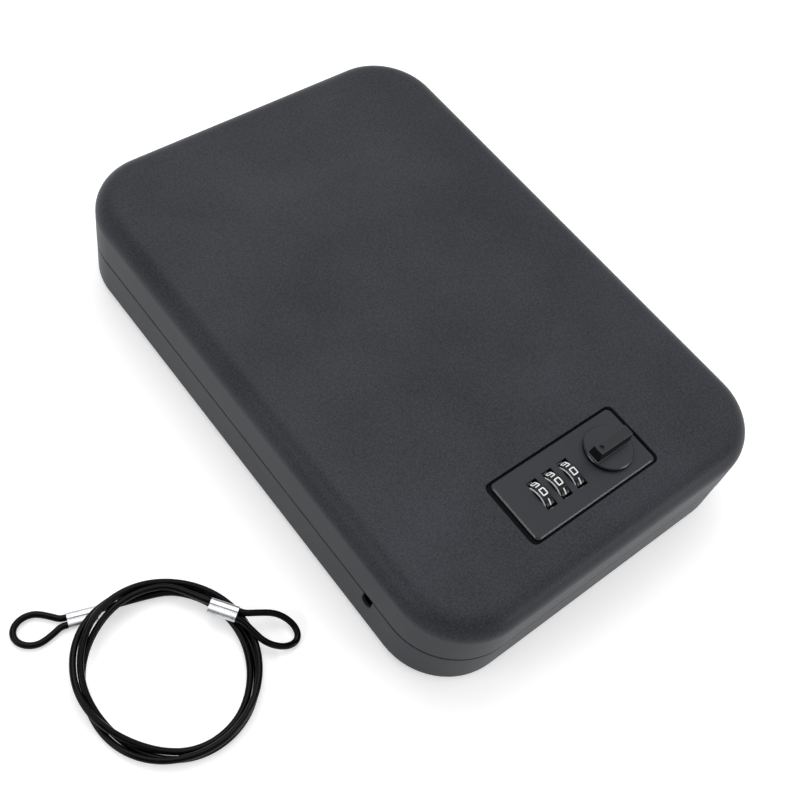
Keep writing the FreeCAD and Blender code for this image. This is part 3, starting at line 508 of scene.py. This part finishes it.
def foam_profile(thick, half_width):
    """How far in and how high a liner's rings lie: up its side, round its soft edge and over its face."""
    soft = FOAM_EDGE_R * MM
    profile = [(0.0, 0.0), (0.0, thick - soft)]
    for step in range(1, FOAM_EDGE_STEPS + 1):
        angle = math.pi / 2 * step / FOAM_EDGE_STEPS
        profile.append((soft * (1 - math.cos(angle)), thick - soft * (1 - math.sin(angle))))
    return profile + [(share * half_width, thick) for share in FOAM_FACE_RINGS]


def add_foam(node, body, corner, open_up, material):
    """A foam sheet, not quite flat, with a soft edge on its open face and, in the base, a drawn-in foot."""
    low, high = (Vector(place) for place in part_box(node))
    middle = (low + high) / 2
    half = (high - low) / 2
    thick = high.z - low.z
    foot_in = FOAM_FOOT_IN * MM if open_up else 0.0
    profile = foam_profile(thick, half.x)
    vertices, faces = [], []
    for inset, height in profile:
        shrink = inset + foot_in * max(0.0, 1 - height / (FOAM_FOOT_SHARE * thick))
        radius = max(corner * MM - shrink, FOAM_LEAST_CORNER * MM)
        ring = rounded_outline(half.x - shrink, half.y - shrink, radius)
        for x, y in ring:
            uneven = FOAM_UNEVEN * MM * noise.noise(Vector((x, y, 0)) / (FOAM_UNEVEN_SIZE * MM))
            z = height + min(uneven * min(1.0, height / thick), FOAM_MOST_PROUD * MM)
            vertices.append((middle.x + x, middle.y + y, low.z + z if open_up else high.z - z))
    count = len(ring)
    last = len(vertices) - count
    for first in range(0, last, count):
        faces += band(first, first + count, count)
    faces += [tuple(range(count)), tuple(range(last, last + count))]
    piece = add_mesh(f"{node}_sheet", vertices, faces, material)
    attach(piece, body)
    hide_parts(node)


# dial digits, drawn as strokes on a grid two wide and two high
STROKES = {
    0: [[(-1, -1), (1, -1), (1, 1), (-1, 1), (-1, -1)]],
    1: [[(0, 1), (0, -1)]],
    2: [[(-1, 1), (1, 1), (1, 0), (-1, 0), (-1, -1), (1, -1)]],
    3: [[(-1, 1), (1, 1), (1, -1), (-1, -1)], [(-0.6, 0), (1, 0)]],
    4: [[(-1, 1), (-1, 0), (1, 0)], [(1, 1), (1, -1)]],
    5: [[(1, 1), (-1, 1), (-1, 0), (1, 0), (1, -1), (-1, -1)]],
    6: [[(1, 1), (-1, 1), (-1, -1), (1, -1), (1, 0), (-1, 0)]],
    7: [[(-1, 1), (1, 1), (-0.2, -1)]],
    8: [[(-1, -1), (1, -1), (1, 1), (-1, 1), (-1, -1)], [(-1, 0), (1, 0)]],
    9: [[(-1, -1), (1, -1), (1, 1), (-1, 1), (-1, 0), (1, 0)]],
}

# sizes of the digits and of the pale ring on each wheel, a painted highlight along its left rim, in
# millimetres
DIAL_R = 6.8
DIGIT_HALF = (1.0, 1.3)
DIGIT_CORNER_R = 0.3
DIGIT_CORNER_STEPS = 5
STROKE_HALF = 0.24
STROKE_LONGEST_STEP = 0.25
STROKE_SECTION = ((-1, -0.06), (-1, 0.03), (1, 0.03), (1, -0.06))
BEVEL = 0.5
RING_WIDE = 0.45
RING_OVER_BEVEL = 0.125
RING_LIFT = 0.03
RING_SINK = 0.05
RING_STEPS = 90


def round_corners(stroke):
    """A stroke's points with its corners rounded, and whether it is closed."""
    closed = stroke[0] == stroke[-1]
    wide, high = DIGIT_HALF
    points = [Vector((x * wide, y * high)) for x, y in stroke]
    if closed:
        points = points[:-1]
    smooth = []
    for index, point in enumerate(points):
        if not closed and index in (0, len(points) - 1):
            smooth.append(point)
            continue
        before = (points[index - 1] - point).normalized() * DIGIT_CORNER_R
        after = (points[(index + 1) % len(points)] - point).normalized() * DIGIT_CORNER_R
        for step in range(DIGIT_CORNER_STEPS + 1):
            share = step / DIGIT_CORNER_STEPS
            smooth.append(point + before * (1 - share) ** 2 + after * share ** 2)
    return smooth, closed


def divide(points, closed):
    """Short enough steps to follow the wheel's curve."""
    found = []
    ends = points[1:] + points[:1] if closed else points[1:]
    for start, end in zip(points, ends):
        count = max(1, math.ceil((end - start).length / STROKE_LONGEST_STEP))
        found += [start.lerp(end, step / count) for step in range(count)]
    return found if closed else found + [points[-1]]


def on_wheel(centre, x, radius, turn):
    """A place round a wheel's axle, in metres."""
    return (x * MM, (centre[1] - radius * math.sin(turn)) * MM, (centre[2] + radius * math.cos(turn)) * MM)


def add_highlight_ring(vertices, faces, left, centre):
    """The pale ring on a wheel's left face and the foot of its bevel: a painted highlight along the wheel's
    left rim.
    """
    first = len(vertices)
    outer, inner = DIAL_R - BEVEL, DIAL_R - BEVEL - RING_WIDE
    over_x, over_r = left + RING_OVER_BEVEL, outer + RING_OVER_BEVEL
    section = ((over_x + RING_SINK, over_r - RING_SINK), (over_x - RING_LIFT, over_r + RING_LIFT),
               (left - RING_LIFT, outer), (left - RING_LIFT, inner),
               (left + RING_SINK, inner), (left + RING_SINK, outer - RING_SINK))
    count = len(section)
    for step in range(RING_STEPS):
        turn = 2 * math.pi * step / RING_STEPS
        vertices += [on_wheel(centre, x, radius, turn) for x, radius in section]
        faces += band(first + count * step, first + count * ((step + 1) % RING_STEPS), count)


def add_stroke(vertices, faces, stroke, digit, centre):
    """One stroke of a digit, as a ribbon that stands a little proud of the wheel and follows its curve."""
    points, closed = round_corners(stroke)
    points = divide(points, closed)
    first, count = len(vertices), len(points)
    corners = len(STROKE_SECTION)
    for index, point in enumerate(points):
        ahead = points[(index + 1) % count] if closed or index < count - 1 else point
        behind = points[index - 1] if closed or index else point
        way = (ahead - behind).normalized()
        side = Vector((-way.y, way.x)) * STROKE_HALF
        for across, rise in STROKE_SECTION:
            x, y = point + side * across
            turn = 2 * math.pi * digit / len(STROKES) - y / DIAL_R
            vertices.append(on_wheel(centre, centre[0] + x, DIAL_R + rise, turn))
    for index in range(count if closed else count - 1):
        faces += band(first + corners * index, first + corners * ((index + 1) % count), corners)
    if not closed:
        last = first + corners * (count - 1)
        faces += [tuple(range(first, first + corners)), tuple(range(last, last + corners))]


def add_digits(number, material):
    low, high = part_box(f"dial_wheel_{number}")
    centre = [(start + end) / 2 / MM for start, end in zip(low, high)]
    vertices, faces = [], []
    for digit, strokes in STROKES.items():
        for stroke in strokes:
            add_stroke(vertices, faces, stroke, digit, centre)
    # the pale ring is a painted highlight on the wheel's left rim
    add_highlight_ring(vertices, faces, low[0] / MM, centre)
    piece = add_mesh(f"digits_{number}", vertices, faces, material, smooth=False)
    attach(piece, f"dial_{number}")


# studio, in metres and watts
FLOOR_REACH = 3.0
FLOOR_HEIGHT = -0.0002
FLOOR_GLOW = 0.46
SKY_STRENGTH = 1.15
SKY_BRIGHT_WAY = (0.4, 0.25, 0.88)
SKY_DIM = (0.35, (0.14, 0.14, 0.15, 1))  # how far it faces the bright way, and its colour there
SKY_BRIGHT = (0.9, (1.0, 1.0, 1.0, 1))
HORIZON_TOP = 0.4  # the slope below which the sky that is seen turns white
HORIZON_WHITE = 0.25
LOCK_END = (0, -0.09, 0.045)
STRIP_SIZE = (0.6, 0.12)
STRIP_POWER = 2.8


def add_floor():
    """A white table that glows only as it is seen, so its light on the box stays plain."""
    shader = Shader("studio_floor", Specular_IOR_Level=0.1, Roughness=0.9, Emission_Color=(1, 1, 1, 1))
    tone = shader.noise(size_mm=400)
    glow = shader.math("MULTIPLY", shader.seen(), FLOOR_GLOW)
    table = shader.done(Base_Color=shader.spread(tone, 0.82, 0.84), Emission_Strength=glow)
    corners = [(x * FLOOR_REACH, y * FLOOR_REACH, FLOOR_HEIGHT)
               for x, y in ((-1, -1), (1, -1), (1, 1), (-1, 1))]
    floor = add_mesh("floor", corners, [(0, 1, 2, 3)], table, smooth=False)


def add_light(name, place, target, size, power):
    data = bpy.data.lights.new(name, "AREA")
    data.shape = "RECTANGLE"
    data.size, data.size_y = size
    data.energy = power
    light = bpy.data.objects.new(name, data)
    light.location = place
    light.rotation_euler = (Vector(target) - Vector(place)).to_track_quat("-Z", "Y").to_euler()
    scene.collection.objects.link(light)


def add_world():
    """Bright above and behind on the right, dim on the camera's side, and white where it is seen low down."""
    world = bpy.data.worlds.new("studio")
    tree = NodeTree(world)
    way = tree.add("TexCoord").outputs["Generated"]
    facing = tree.add("VectorMath")
    facing.operation = "DOT_PRODUCT"
    tree.put(facing.inputs[0], way)
    tree.put(facing.inputs[1], Vector(SKY_BRIGHT_WAY).normalized())
    sky = tree.ramp(facing.outputs["Value"], SKY_DIM, SKY_BRIGHT)
    height = tree.add("SeparateXYZ", Vector=way).outputs["Z"]
    low_down = tree.add("MapRange", Value=height, From_Min=HORIZON_TOP, From_Max=HORIZON_WHITE)
    shown = tree.math("MULTIPLY", tree.seen(), low_down.outputs["Result"])
    mixed = tree.add("MixRGB", Fac=shown, Color1=sky, Color2=grey(1 / SKY_STRENGTH))
    tree.set(tree.nodes["Background"], Color=mixed.outputs["Color"], Strength=SKY_STRENGTH)
    scene.world = world


add_camera()
paint_nodes()
add_cable()
foam_material = foam()
add_foam("base_foam", "base", corner=25.0, open_up=True, material=foam_material)
add_foam("lid_foam", "lid", corner=16.0, open_up=False, material=foam_material)
white_paint_and_highlight = digit_paint_and_highlight()
for dial in (1, 2, 3):
    add_digits(dial, white_paint_and_highlight)
add_floor()
add_world()
add_light("key", place=(0.2, 0.7, 1.5), target=(0, 0, 0), size=(1.0, 1.0), power=6)
add_light("strip_left", place=(-1.0, 0.15, 0.65), target=LOCK_END, size=STRIP_SIZE, power=STRIP_POWER)
add_light("strip_front", place=(0.6, -1.1, 0.3), target=LOCK_END, size=STRIP_SIZE, power=STRIP_POWER)
scene.view_settings.view_transform = "Standard"
